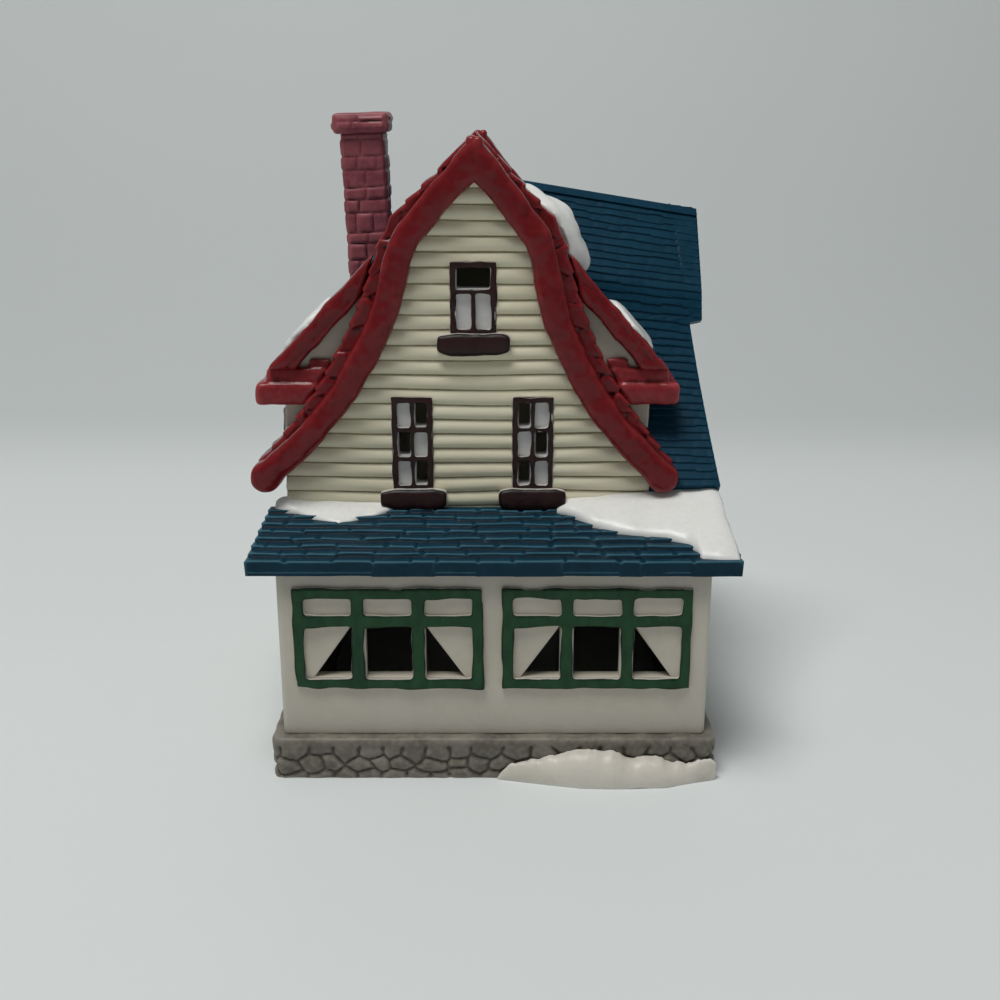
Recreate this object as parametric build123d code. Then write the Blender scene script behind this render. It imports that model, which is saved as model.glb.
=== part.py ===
from build123d import *
import math
import os

# Lighted ceramic village house: hollow slip-cast pieces luted together, with a clip-in lamp at the back.
# Millimetres. X runs to the right, Y to the back, Z up; the origin is on the floor under the middle.

# Foundation ring and the snow drift in front of it
base_width = 120.0
base_depth = 124.0
base_height = 11.8
base_ring = 8.5
base_corner = 3.0
base_ledge = 3.0
base_edge_round = 1.2
drift_reach = 6.0
drift_height = 8.0
drift_half_length = 30.0
drift_x = 30.5

# Lower storey
wall_thickness = 4.0
wall_height = 58.2
wall_corner = 1.5

# Porch lean-to
porch_depth = 25.0
porch_overhang = 4.0
porch_side_overhang = 7.0
porch_taper = 2.4
porch_pitch = 12.6
porch_roof_thickness = 3.4
porch_top_below_wall = 1.5
porch_courses = 6

# Flared gable, measured on the underside of the roof
gable_x = -5.1
gable_lean = 2.1
gable_rise = 87.5
knee_half = 15.2
knee_drop = 18.2
bell_half = 20.5
bell_rise = 27.0
eave_inset = 5.1
eave_lift = 5.6
roof_thickness = 4.2
shingle_lap = 0.8
main_courses = 18
board_width = 6.2
board_end_radius = 3.9
board_depth = 6.0
board_lead = 5.0
verge_strip_width = 6.8
verge_strip_swell = 3.2
verge_strip_depth = 6.0
rear_board_depth = 5.0
rear_overhang = 3.0
clapboard_pitch = 4.05
clapboard_lap = 0.8

# Right wing, ridge falling to the right
wing_ridge_back = 47.0
wing_eave_half = 47.0
wing_root_drop = 9.5
wing_ridge_fall = 10.7
wing_knee_half = 13.0
wing_knee_drop = 16.5
wing_bell_half = 19.0
wing_bell_rise = 27.0
wing_eave_lift = 2.0
wing_reach = 5.0
wing_batter = 8.5
wing_courses = 15
hood_reach = 2.2
hood_lift = 45.5

# Shed dormers on both main slopes
dormer_length = 24.5
dormer_inset = 1.7
dormer_wall = 3.0
dormer_head = 11.4
dormer_roof_thickness = 4.2
dormer_roof_set_back = 1.4
dormer_verge_depth = 4.0
dormer_verge_width = 4.6
dormer_verge_lift = 1.0
dormer_rear_verge = 3.0
cornice_lower_reach = 7.1
cornice_lower_verge = 3.6
cornice_lower_height = 5.4
cornice_upper_reach = 4.3
cornice_upper_verge = 2.4
cornice_upper_height = 4.0
cornice_lip_inset = 7.0
cornice_lip_verge = 1.4
cornice_lip_height = 2.6

# Chimney
chimney_x = -33.6
chimney_back = 42.0
chimney_width = 11.8
chimney_depth = 12.0
chimney_rise = 97.0
chimney_lean = 2.2
cap_overhang = 1.9
cap_height = 5.6
cap_round = 1.0

# Upper windows
window_rail = 1.6
window_bar = 1.5
window_relief = 1.6
attic_x = -5.4
attic_lift = 46.4
attic_width = 12.1
attic_lower_pane = 9.0
attic_upper_pane = 5.4
bedroom_left_x = -22.1
bedroom_right_x = 10.5
bedroom_lift = 3.6
bedroom_width = 11.0
bedroom_pane = 6.6
sill_overhang = 3.4
sill_height = 4.2
sill_depth = 3.4
rear_window_lift = 12.0

# Side and dormer windows
side_window_back = 58.0
side_window_lift = 17.0
side_window_width = 17.0
side_window_pane = 7.2
dormer_window_width = 12.0
dormer_window_foot = 2.6
dormer_window_head = 3.4
dormer_window_pane = 4.6

# Porch windows
porch_window_left_x = -27.8
porch_window_right_x = 27.2
porch_window_width = 50.0
porch_window_lift = 13.9
porch_rail = 3.0
porch_bar = 3.6
porch_relief = 1.3
porch_lower_pane = 14.6
porch_upper_pane = 4.4
curtain_margin = 2.0

# Snow lying on the roofs
porch_snow_depth = 4.8
left_snow_x = -45.0
left_snow_half = 15.0
left_snow_run = 9.0
right_snow_x = 42.0
right_snow_half = 22.0
right_snow_run = 12.0
corner_snow_x = 52.0
corner_snow_half = 16.0
corner_snow_run = 18.0
corner_snow_out = 11.0
corner_snow_depth = 3.6
upper_snow_under_knee = 4.8
upper_snow_length = 12.8
upper_snow_depth = 7.2
lower_snow_inset = 6.2
lower_snow_length = 10.0
lower_snow_depth = 4.4
snow_back = 7.0
snow_breadth = 9.0

# Lamp
lamp_lift = 23.0
lamp_hole_radius = 12.7
socket_length = 34.0
socket_radius = 9.5
socket_flange_radius = 15.5
socket_flange = 2.5
socket_boss_radius = 10.5
socket_boss = 3.4
socket_bore_depth = 22.0
cord_inlet_radius = 3.2
shell_radius = 6.0
shell_wall = 0.5
shell_set = 3.0
contact_radius = 4.2
contact_thickness = 1.2
clip_collar = 6.0
clip_set = 5.0
clip_gauge = 0.7
clip_width = 7.0
clip_clearance = 0.5
thread_clearance = 0.06
thread_pitch = 2.54
thread_groove = 0.45
thread_turns = 5
bulb_base_length = 20.5
bulb_gap = 0.6
bulb_radius = 11.0
bulb_neck_radius = 5.2
bulb_length = 33.0
bulb_belly = 12.0
bulb_glass_wall = 0.7
stem_radius = 1.6
stem_length = 9.0
filament_radius = 0.3
filament_half_span = 3.0
filament_reach = 6.0

# Levels and faces that several pieces share
base_front = (drift_reach - rear_overhang - base_depth) / 2
base_back = base_front + base_depth
wall_front = base_front + base_ledge
wall_back = base_back - base_ledge
wall_side = base_width / 2 - base_ledge
wall_inner = wall_side - wall_thickness
wall_top = base_height + wall_height
gable_front = wall_front + porch_depth
roof_back = base_back + rear_overhang
board_front = gable_front - board_lead
board_back = board_front + board_depth
main_front = board_back + verge_strip_depth
main_back = roof_back - rear_board_depth
eave_z = wall_top + eave_lift
eave_half = wall_side - eave_inset
apex_z = wall_top + gable_rise
porch_half = wall_side + porch_side_overhang
porch_run = porch_depth + porch_overhang
porch_eave = gable_front - porch_run
porch_top_z = wall_top - porch_top_below_wall
porch_under_z = porch_top_z - porch_roof_thickness / math.cos(math.radians(porch_pitch))
wing_end = wall_side + wing_reach
wing_y = gable_front + wing_ridge_back
wing_eave_z = wall_top + wing_eave_lift
wing_root_z = apex_z - wing_root_drop
wing_end_z = wing_root_z - wing_ridge_fall
hood_z = wall_top + hood_lift
hood_end = wall_side + hood_reach
dormer_front = main_front
dormer_back = dormer_front + dormer_length
dormer_half = eave_half - dormer_inset
lamp_z = base_height + lamp_lift
above_all = wall_top + gable_rise + chimney_rise


def block(x0, x1, y0, y1, z0, z1):
    """Box between two corners."""
    return Pos((x0 + x1) / 2, (y0 + y1) / 2, (z0 + z1) / 2) * Box(x1 - x0, y1 - y0, z1 - z0)


def prism_y(points, y0, y1):
    """Outline of (x, z) points carried from y0 to y1."""
    outline = make_face(Polyline(*[(x, y0, z) for x, z in points], close=True))
    return extrude(outline, amount=y1 - y0, dir=(0, 1, 0))


def prism_x(points, x0, x1):
    """Outline of (y, z) points carried from x0 to x1."""
    outline = make_face(Polyline(*[(x0, y, z) for y, z in points], close=True))
    return extrude(outline, amount=x1 - x0, dir=(1, 0, 0))


def turned(points, y0):
    """Outline of (radius, y) points turned about the lamp axis, y counted from y0."""
    outline = make_face(Polyline(*[(r, y, 0) for r, y in points], close=True))
    return Pos(0, y0, lamp_z) * revolve(outline, axis=Axis.Y)


def evenly(points, count):
    """Points spread evenly along a polyline."""
    lengths = [0.0]
    for a, b in zip(points, points[1:]):
        lengths.append(lengths[-1] + math.dist(a, b))
    spread = []
    for i in range(count + 1):
        goal = lengths[-1] * i / count
        k = max(j for j in range(len(points) - 1) if lengths[j] <= goal + 1e-9)
        f = (goal - lengths[k]) / (lengths[k + 1] - lengths[k])
        spread.append(tuple(a + f * (b - a) for a, b in zip(points[k], points[k + 1])))
    return spread


def flared_line(ridge, knee, bell, eave, courses):
    """Half outline of a flared slope, straight down to the knee, then a curve drawn by the bell point."""
    fine = [ridge]
    for i in range(41):
        t = i / 40
        shares = ((1 - t) ** 2, 2 * t * (1 - t), t * t)
        fine.append(tuple(shares[0] * k + shares[1] * b + shares[2] * e for k, b, e in zip(knee, bell, eave)))
    return evenly(fine, courses)


def out_of(a, b):
    """Unit vector square to a stretch of a slope, pointing out of the roof."""
    length = math.dist(a, b)
    return (a[1] - b[1]) / length, (b[0] - a[0]) / length


def depths(line, thickness, swell):
    """Thickness of a band at each point of a slope, swelling towards mid-slope."""
    steps = len(line) - 1
    return [thickness + swell * math.sin(math.pi * i / steps) for i in range(steps + 1)]


def shingled(line, thickness, swell=0.0):
    """Outer edge of a slope: each course starts at the band's thickness and ends one lap above it."""
    edge = []
    deep = depths(line, thickness, swell)
    for i, (a, b) in enumerate(zip(line, line[1:])):
        n = out_of(a, b)
        low = deep[i + 1] + shingle_lap
        ridge = (a[0], a[1] + deep[i] / n[1])
        edge.append((a[0] + n[0] * deep[i], a[1] + n[1] * deep[i]) if i else ridge)
        edge.append((b[0] + n[0] * low, b[1] + n[1] * low))
    return edge


def smooth_edge(line, thickness, swell=0.0):
    """Outer edge of a plain band that follows a slope."""
    first = out_of(line[0], line[1])
    edge = [(line[0][0], line[0][1] + thickness / first[1])]
    for a, b, c, deep in zip(line, line[1:], line[2:] + line[-1:], depths(line, thickness, swell)[1:]):
        n = out_of(a, c)
        edge.append((b[0] + n[0] * deep, b[1] + n[1] * deep))
    return edge


def at_gable(points, side):
    """Half outline set on one side of the main gable, which leans over a little towards its apex."""
    lean = math.tan(math.radians(gable_lean))
    return [(gable_x + side * h - lean * (apex_z - z), z) for h, z in points]


def at_wing(points, side):
    """Half outline set on the front or rear side of the wing ridge."""
    return [(wing_y + side * h, z) for h, z in points]


def wing_loft(root, end):
    """Solid between two (y, z) outlines, one under the main ridge and one at the wing's end."""
    faces = []
    for x, outline in ((gable_x, root), (wing_end, end)):
        faces.append(make_face(Polyline(*[(x, y, z) for y, z in outline], close=True)))
    return loft(faces, ruled=True)


def closed_below(edge, eave, floor):
    """Half outline taken straight down from its eave and back under its ridge."""
    return edge + [eave, (eave[0], floor), (edge[0][0], floor)]


main_line = flared_line(
    (0.0, apex_z),
    (knee_half, apex_z - knee_drop),
    (bell_half, eave_z + bell_rise),
    (eave_half, eave_z),
    main_courses,
)
wing_lines = [
    flared_line(
        (0.0, z),
        (wing_knee_half, z - wing_knee_drop),
        (wing_bell_half, wing_eave_z + wing_bell_rise),
        (wing_eave_half, wing_eave_z),
        wing_courses,
    )
    for z in (wing_root_z, wing_end_z)
]
main_edge = shingled(main_line, roof_thickness)
verge_edge = shingled(main_line, verge_strip_width, verge_strip_swell)
wing_edges = [shingled(line, roof_thickness) for line in wing_lines]
main_cover = smooth_edge(main_line, roof_thickness + shingle_lap)
verge_cover = smooth_edge(main_line, verge_strip_width + shingle_lap, verge_strip_swell)
wing_covers = [smooth_edge(line, roof_thickness + shingle_lap) for line in wing_lines]

# Volumes taken up by the two roofs and by the rooms under them
main_room = None
main_bulk = None
for side in (-1, 1):
    eave = main_line[-1]
    room = prism_y(at_gable(closed_below(main_line[:-1], eave, base_height), side), board_front, roof_back)
    bulk = prism_y(at_gable(closed_below(main_cover, eave, base_height), side), board_front, roof_back)
    bulk += prism_y(at_gable(closed_below(verge_cover, eave, base_height), side), board_back, main_front)
    main_room = room if main_room is None else main_room + room
    main_bulk = bulk if main_bulk is None else main_bulk + bulk
wing_room = None
wing_bulk = None
for side in (-1, 1):
    room = wing_loft(*[at_wing(closed_below(line[:-1], line[-1], wall_top), side) for line in wing_lines])
    ends = zip(wing_covers, wing_lines)
    bulk = wing_loft(*[at_wing(closed_below(edge, line[-1], wall_top), side) for edge, line in ends])
    wing_room = room if wing_room is None else wing_room + room
    wing_bulk = bulk if wing_bulk is None else wing_bulk + bulk
batter_top = wing_end - math.tan(math.radians(wing_batter)) * (above_all - wing_eave_z)
far_right = wing_end + base_width
beyond_verge = prism_y(
    [(wing_end, wing_eave_z), (batter_top, above_all), (far_right, above_all), (far_right, wing_eave_z)],
    -base_depth,
    base_depth,
)

parts = {}

# Foundation and drift
ring_outside = extrude(RectangleRounded(base_width, base_depth, base_corner), amount=base_height)
ring_outside = fillet(ring_outside.edges().group_by(Axis.Z)[-1], base_edge_round)
ring_inside = Box(base_width - 2 * base_ring, base_depth - 2 * base_ring, 3 * base_height)
parts["stone_foundation"] = Pos(0, (base_front + base_back) / 2, 0) * (ring_outside - ring_inside)
drift = scale(Sphere(1.0), by=(drift_half_length, drift_reach, drift_height))
drift = Pos(drift_x, base_front, 0) * drift
drift = drift & block(-base_width, base_width, -base_depth, base_front, 0, base_height)
parts["foundation_snow"] = drift


def pane_rows(width, rail, bar, heights, columns):
    """Panes (x0, x1, z0, z1) of a window, rows counted from the sill, and the window's height."""
    panes = []
    z = rail
    for height, count in zip(heights, columns):
        pane = (width - 2 * rail - (count - 1) * bar) / count
        for i in range(count):
            x = -width / 2 + rail + i * (pane + bar)
            panes.append((x, x + pane, z, z + height))
        z += height + bar
    return panes, z - bar + rail


def window(width, panes, height, relief, open_panes):
    """Opening, panel, raised frame and cut-out panes of a window at the origin, facing the front."""
    opening = block(-width / 2, width / 2, -relief, wall_thickness, 0, height)
    frame = block(-width / 2, width / 2, -relief, 0, 0, height)
    panel = block(-width / 2, width / 2, 0, wall_thickness, 0, height)
    holes = []
    for i, (x0, x1, z0, z1) in enumerate(panes):
        frame -= block(x0, x1, -relief, 0, z0, z1)
        if i in open_panes:
            holes.append(block(x0, x1, 0, wall_thickness, z0, z1))
    for hole in holes:
        panel -= hole
    return opening, panel, frame, holes


def sill(width):
    """Window sill standing under the origin, rounded along its front."""
    half = width / 2 + sill_overhang
    bar = block(-half, half, -sill_depth, 0, -sill_height, 0)
    return fillet(bar.edges().filter_by(Axis.X).group_by(Axis.Y)[0], sill_depth / 3)


# Lower storey with the porch front
lower = extrude(RectangleRounded(2 * wall_side, wall_back - wall_front, wall_corner), amount=wall_height)
lower = Pos(0, (wall_front + wall_back) / 2, base_height) * lower
room_front = wall_front + wall_thickness
room_back = wall_back - wall_thickness
lower -= block(-wall_inner, wall_inner, room_front, room_back, base_height, wall_top)
porch_line = []
for i in range(porch_courses + 1):
    out = porch_run * i / porch_courses
    porch_line.append((out, porch_under_z - math.tan(math.radians(porch_pitch)) * out))
porch_under = [(gable_front - d, z) for d, z in porch_line]
over_porch = porch_under + [(porch_eave, above_all), (gable_front, above_all)]
over_porch = prism_x(over_porch, -porch_half, porch_half)
lower -= over_porch
lamp_hole = Pos(0, wall_back, lamp_z) * Rot(90, 0, 0) * Cylinder(lamp_hole_radius, 3 * wall_thickness)
lower -= lamp_hole

porch_panes, porch_window_height = pane_rows(
    porch_window_width, porch_rail, porch_bar, [porch_lower_pane, porch_upper_pane], [3, 3]
)
porch_frame = window(porch_window_width, porch_panes, porch_window_height, porch_relief, ())[2]
left, middle, right = porch_panes[:3]
curtained = (
    [(left[1], left[2]), (left[1], left[3]), (left[0] + curtain_margin, left[2])],
    [(middle[0], middle[2]), (middle[1], middle[2]), (middle[1], middle[3]), (middle[0], middle[3])],
    [(right[0], right[2]), (right[0], right[3]), (right[1] - curtain_margin, right[2])],
)
for name, x in (("porch_window_left", porch_window_left_x), ("porch_window_right", porch_window_right_x)):
    place = Pos(x, wall_front, base_height + porch_window_lift)
    parts[name] = place * porch_frame
    for outline in curtained:
        lower -= place * prism_y(outline, 0, wall_thickness)

side_panes, side_window_height = pane_rows(
    side_window_width, window_rail, window_bar, 3 * [side_window_pane], [2, 2, 2]
)
side_window = window(side_window_width, side_panes, side_window_height, window_relief, (0, 3, 4))
for name, side in (("side_window_left", -1), ("side_window_right", 1)):
    place = Pos(side * wall_side, gable_front + side_window_back, base_height + side_window_lift)
    place = place * Rot(0, 0, side * 90)
    parts[name] = place * side_window[2]
    for hole in side_window[3]:
        lower -= place * hole
parts["lower_walls"] = lower

# Porch roof, drawn in a little towards the house at both ends
porch_edge = [(gable_front - d, z) for d, z in shingled(porch_line, porch_roof_thickness)]
back_half = porch_half - porch_taper
porch_plan = make_face(
    Polyline(
        (-porch_half, porch_eave),
        (porch_half, porch_eave),
        (back_half, gable_front),
        (-back_half, gable_front),
        close=True,
    )
)
over_plan = extrude(porch_plan, amount=above_all)
porch_roof = prism_x(porch_under + porch_edge[::-1], -porch_half, porch_half) & over_plan
parts["porch_roof"] = porch_roof


# Gable walls with lapped boards
def clapboards(face, out, z0):
    """Slab of lapped boards with its face at y = face, the laps standing out to the side given."""
    count = math.ceil((apex_z - z0) / clapboard_pitch)
    outline = [(face - out * wall_thickness, z0)]
    for i in range(count):
        outline.append((face + out * clapboard_lap, z0 + i * clapboard_pitch))
        outline.append((face, z0 + (i + 1) * clapboard_pitch))
    outline.append((face - out * wall_thickness, z0 + count * clapboard_pitch))
    return prism_x(outline, -wall_side, wall_side)


shoulder = block(-wall_side, wall_side, -base_depth, base_depth, wall_top, wing_eave_z)
between_walls = block(-wall_inner, wall_inner, -base_depth, base_depth, base_height, wall_top)
over_walls = block(-wall_side, wall_side, -base_depth, base_depth, wall_top, above_all)
gable_shape = (main_room & over_walls) + shoulder
front_gable = clapboards(gable_front, -1, porch_under_z) & (gable_shape + between_walls)
rear_gable = clapboards(wall_back, 1, wall_top) & gable_shape
front_gable -= porch_roof

sills = {}
for name, x, lift, width, heights, columns, open_panes in (
    ("attic_window", attic_x, attic_lift, attic_width, [attic_lower_pane, attic_upper_pane], [2, 1], (2,)),
    ("left_window", bedroom_left_x, bedroom_lift, bedroom_width, 3 * [bedroom_pane], [2, 2, 2], (1, 2, 5)),
    ("right_window", bedroom_right_x, bedroom_lift, bedroom_width, 3 * [bedroom_pane], [2, 2, 2], (0, 3, 4)),
):
    place = Pos(x, gable_front, wall_top + lift)
    panes, height = pane_rows(width, window_rail, window_bar, heights, columns)
    opening, panel, frame, holes = window(width, panes, height, window_relief, open_panes)
    front_gable -= place * opening
    parts[name + "_panel"] = place * panel
    parts[name + "_frame"] = place * frame
    sills[name + "_sill"] = place * sill(width)
rear_x = at_gable([(0.0, wall_top + rear_window_lift)], 1)[0][0]
place = Pos(rear_x, wall_back, wall_top + rear_window_lift) * Rot(0, 0, 180)
rear_gable -= place * opening
parts["rear_window_panel"] = place * panel
parts["rear_window_frame"] = place * frame
for name in sills:
    parts[name] = sills[name] - front_gable - porch_roof
parts["front_gable_wall"] = front_gable
parts["rear_gable_wall"] = rear_gable

# Main roof, its red verge strip and the boards on both gables
for name, side in (("left", -1), ("right", 1)):
    slope = at_gable(main_line + main_edge[::-1], side)
    parts["main_roof_" + name] = prism_y(slope, main_front, main_back)
    strip = at_gable(main_line + verge_edge[::-1], side)
    parts["verge_shingles_" + name] = prism_y(strip, board_back, main_front)
    band_edge = smooth_edge(main_line, board_width)
    band = at_gable(main_line + band_edge[::-1], side)
    end = [tuple((a + b) / 2 for a, b in zip(main_line[-1], band_edge[-1]))]
    end_x, end_z = at_gable(end, side)[0]
    for where, y0, y1, wall in (
        ("front", board_front, board_back, front_gable),
        ("rear", main_back, roof_back, rear_gable),
    ):
        knob = Pos(end_x, (y0 + y1) / 2, end_z) * Rot(90, 0, 0) * Cylinder(board_end_radius, y1 - y0)
        parts[f"{where}_bargeboard_{name}"] = prism_y(band, y0, y1) + knob - wall
foot = block(-wall_side, -wall_inner, gable_front + wall_thickness, room_back, wall_top, above_all)
parts["main_roof_left"] += foot & main_room

# Wing on the right
for name, side in (("front", -1), ("rear", 1)):
    outlines = [at_wing(line + edge[::-1], side) for line, edge in zip(wing_lines, wing_edges)]
    shell = wing_loft(*outlines) - beyond_verge - main_bulk
    parts["wing_roof_" + name] = shell - parts[f"{name}_bargeboard_right"]
hood = wing_bulk & beyond_verge & block(0, hood_end, -base_depth, base_depth, hood_z, above_all)
parts["wing_gable_hood"] = hood
wing_wall = block(wall_inner, wall_side, -base_depth, base_depth, wall_top, above_all) & wing_room
wing_wall = wing_wall - beyond_verge - main_bulk - front_gable - rear_gable
parts["wing_gable_wall"] = wing_wall

# Shed dormers; the right one runs back into the wing
dormer_panes, dormer_window_height = pane_rows(
    dormer_window_width, window_rail, window_bar, [dormer_window_pane], [2]
)
roof_at_face = max(z for h, z in main_edge if h >= dormer_half)
dormer_window_z = roof_at_face + dormer_window_foot
cornice_low = dormer_window_z + dormer_window_height + dormer_window_head
cornice_mid = cornice_low + cornice_lower_height
cornice_top = cornice_mid + cornice_upper_height
upper_pitch = math.atan2(knee_drop, knee_half)
ridge_z = apex_z + (roof_thickness + shingle_lap) / math.cos(upper_pitch)
head_z = ridge_z - math.tan(upper_pitch) * dormer_head
dormer_reach = dormer_half + cornice_upper_reach - dormer_roof_set_back
dormer_pitch = math.atan2(head_z - cornice_top, dormer_reach - dormer_head)


def dormer_band(above, below):
    """Half outline of a band about the dormer roof's upper face, from the main roof to the cornice."""
    slope = math.tan(dormer_pitch)
    rise = above / math.cos(dormer_pitch)
    drop = below / math.cos(dormer_pitch)
    return [
        (dormer_head, head_z + rise),
        (dormer_reach + rise / slope, cornice_top),
        (dormer_reach - drop / slope, cornice_top),
        (dormer_head, head_z - drop),
    ]


def under_dormer(half):
    """Half outline of the space under the dormer roof, out to an upright face."""
    slope_foot, slope_head = dormer_band(0.0, dormer_roof_thickness)[2:]
    return [(0.0, wall_top), (half, wall_top), (half, cornice_top), slope_foot, slope_head]


for name, side in (("left", -1), ("right", 1)):
    back = wing_y if side > 0 else dormer_back
    hollow_back = back if side > 0 else back - dormer_wall
    slab = at_gable(dormer_band(0.0, dormer_roof_thickness), side)
    slab = prism_y(slab, dormer_front, back + dormer_rear_verge) - main_bulk - wing_bulk
    parts[f"dormer_{name}_roof"] = max(slab.solids(), key=lambda piece: piece.volume)
    bar = at_gable(dormer_band(dormer_verge_lift, dormer_verge_width), side)
    bar = prism_y(bar, dormer_front - dormer_verge_depth, dormer_front)
    parts[f"dormer_{name}_verge"] = bar - main_bulk - wing_bulk
    inside = prism_y(at_gable(under_dormer(dormer_half), side), dormer_front, back)
    hollow = at_gable(under_dormer(dormer_half - dormer_wall), side)
    hollow = prism_y(hollow, dormer_front + dormer_wall, hollow_back)
    parts[f"dormer_{name}_walls"] = inside - hollow - main_bulk - wing_bulk
    cornice = None
    for reach, verge, z0, z1 in (
        (cornice_lower_reach, cornice_lower_verge, cornice_low, cornice_mid),
        (cornice_upper_reach, cornice_upper_verge, cornice_mid, cornice_top),
        (-cornice_lip_inset, cornice_lip_verge, cornice_top, cornice_top + cornice_lip_height),
    ):
        half = dormer_half + reach
        corners = at_gable([(0.0, z0), (half, z0), (half, z1), (0.0, z1)], side)
        band = prism_y(corners, dormer_front - verge, back + verge)
        cornice = band if cornice is None else cornice + band
    cornice = cornice - inside - main_bulk - wing_bulk
    parts[f"dormer_{name}_cornice"] = cornice - parts[f"dormer_{name}_verge"] - parts[f"dormer_{name}_roof"]
face_x = at_gable([(dormer_half, dormer_window_z)], -1)[0][0]
window_place = Pos(face_x, (dormer_front + dormer_back) / 2, dormer_window_z)
window_place = window_place * Rot(0, gable_lean, 0) * Rot(0, 0, -90)
dormer_frame = window(dormer_window_width, dormer_panes, dormer_window_height, window_relief, ())[2]
parts["dormer_left_window"] = window_place * dormer_frame

# Chimney
chimney_place = Pos(chimney_x, gable_front + chimney_back, wall_top) * Rot(0, -chimney_lean, 0)
stack = block(-chimney_width / 2, chimney_width / 2, -chimney_depth / 2, chimney_depth / 2, 0, chimney_rise)
parts["chimney_stack"] = chimney_place * stack - main_bulk
cap_half = chimney_width / 2 + cap_overhang
cap_deep = chimney_depth / 2 + cap_overhang
cap = block(-cap_half, cap_half, -cap_deep, cap_deep, chimney_rise, chimney_rise + cap_height)
parts["chimney_cap"] = chimney_place * fillet(cap.edges(), cap_round)

# Snow on the roofs
def mound(half_x, half_y, half_z):
    """Flattened ball of snow."""
    return scale(Sphere(1.0), by=(half_x, half_y, half_z))


def on_porch(x, out, half_x, half_y, depth):
    """Snow lying on the porch roof, so far out from the gable."""
    z = porch_top_z - math.tan(math.radians(porch_pitch)) * out
    place = Pos(x, gable_front - out, z) * Rot(porch_pitch, 0, 0)
    return place * mound(half_x, half_y, depth) & over_porch & over_plan


left_snow = on_porch(left_snow_x, 0.0, left_snow_half, left_snow_run, porch_snow_depth)
right_snow = on_porch(right_snow_x, 0.0, right_snow_half, right_snow_run, porch_snow_depth)
right_snow += on_porch(corner_snow_x, corner_snow_out, corner_snow_half, corner_snow_run, corner_snow_depth)
for name, snow in (("porch_snow_left", left_snow), ("porch_snow_right", right_snow)):
    snow = snow - porch_roof - front_gable - parts["wing_roof_front"]
    for other in ("left_window_sill", "right_window_sill", "front_bargeboard_left", "front_bargeboard_right"):
        snow -= parts[other]
    parts[name] = snow
for name, slope, side, h, length, depth in (
    ("dormer_snow_left", "left", -1, dormer_half - lower_snow_inset, lower_snow_length, lower_snow_depth),
    ("dormer_snow_right", "right", 1, dormer_half - lower_snow_inset, lower_snow_length, lower_snow_depth),
    ("roof_snow_right", "right", 1, knee_half + upper_snow_under_knee, upper_snow_length, upper_snow_depth),
):
    x, z = at_gable([(h, cornice_top + math.tan(dormer_pitch) * (dormer_reach - h))], side)[0]
    place = Pos(x, dormer_front + snow_back, z) * Rot(0, side * math.degrees(dormer_pitch), 0)
    under_slope = [(0.0, wall_top), (dormer_reach, wall_top)] + dormer_band(0.0, 0.0)[1::-1]
    under_slope = prism_y(at_gable(under_slope, side), -base_depth, base_depth)
    snow = place * mound(length, snow_breadth, depth) - under_slope - main_bulk - wing_bulk
    parts[name] = snow - parts[f"dormer_{slope}_verge"] - parts[f"dormer_{slope}_cornice"]

# Lamp holder, counted from its inner end along the lamp axis
lamp_y = wall_back - socket_length
shell_outer = shell_radius + shell_wall
seat = socket_bore_depth
flange_y = socket_length
parts["lamp_socket"] = turned(
    [
        (shell_outer, 0),
        (socket_radius, 0),
        (socket_radius, flange_y),
        (socket_flange_radius, flange_y),
        (socket_flange_radius, flange_y + socket_flange),
        (socket_boss_radius, flange_y + socket_flange),
        (socket_boss_radius, flange_y + socket_flange + socket_boss),
        (cord_inlet_radius, flange_y + socket_flange + socket_boss),
        (cord_inlet_radius, seat),
        (shell_outer, seat),
    ],
    lamp_y,
)
parts["socket_shell"] = turned(
    [(shell_radius, shell_set), (shell_outer, shell_set), (shell_outer, seat), (shell_radius, seat)], lamp_y
)
contact_y = seat - contact_thickness
parts["socket_contact"] = turned(
    [(0, contact_y), (contact_radius, contact_y), (contact_radius, seat), (0, seat)], lamp_y
)

clip_outer = lamp_hole_radius - clip_clearance
collar_end = clip_set + clip_collar
collar_outer = socket_radius + clip_gauge
clip = turned(
    [
        (socket_radius, clip_set),
        (collar_outer, clip_set),
        (collar_outer, collar_end),
        (socket_radius, collar_end),
    ],
    lamp_y,
)
wing_strip = [
    (socket_radius, collar_end - clip_gauge),
    (clip_outer - clip_gauge, flange_y - 2 * wall_thickness),
    (clip_outer - clip_gauge, flange_y - clip_gauge),
    (clip_outer, flange_y - clip_gauge),
    (clip_outer, flange_y - 2 * wall_thickness - clip_gauge),
    (collar_outer, collar_end - clip_gauge),
]
for side in (-1, 1):
    strip = make_face(Polyline(*[(side * r, y, -clip_width / 2) for r, y in wing_strip], close=True))
    clip += Pos(0, lamp_y, lamp_z) * extrude(strip, amount=clip_width, dir=(0, 0, 1))
parts["lamp_clip"] = clip - parts["lamp_socket"]

# Bulb, screwed into the shell
base_radius = shell_radius - thread_clearance
base_end = contact_y - bulb_gap
base_start = base_end - bulb_base_length
groove_start = base_start + bulb_base_length - (thread_turns + 1) * thread_pitch
bulb_outline = [(0, base_start), (base_radius, base_start)]
for i in range(thread_turns):
    z = groove_start + i * thread_pitch
    bulb_outline += [(base_radius, z), (base_radius - thread_groove, z + thread_pitch / 2)]
bulb_outline += [
    (base_radius, groove_start + thread_turns * thread_pitch),
    (contact_radius / 2, base_end),
    (0, base_end),
]
parts["bulb_base"] = turned(bulb_outline, lamp_y)


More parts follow.
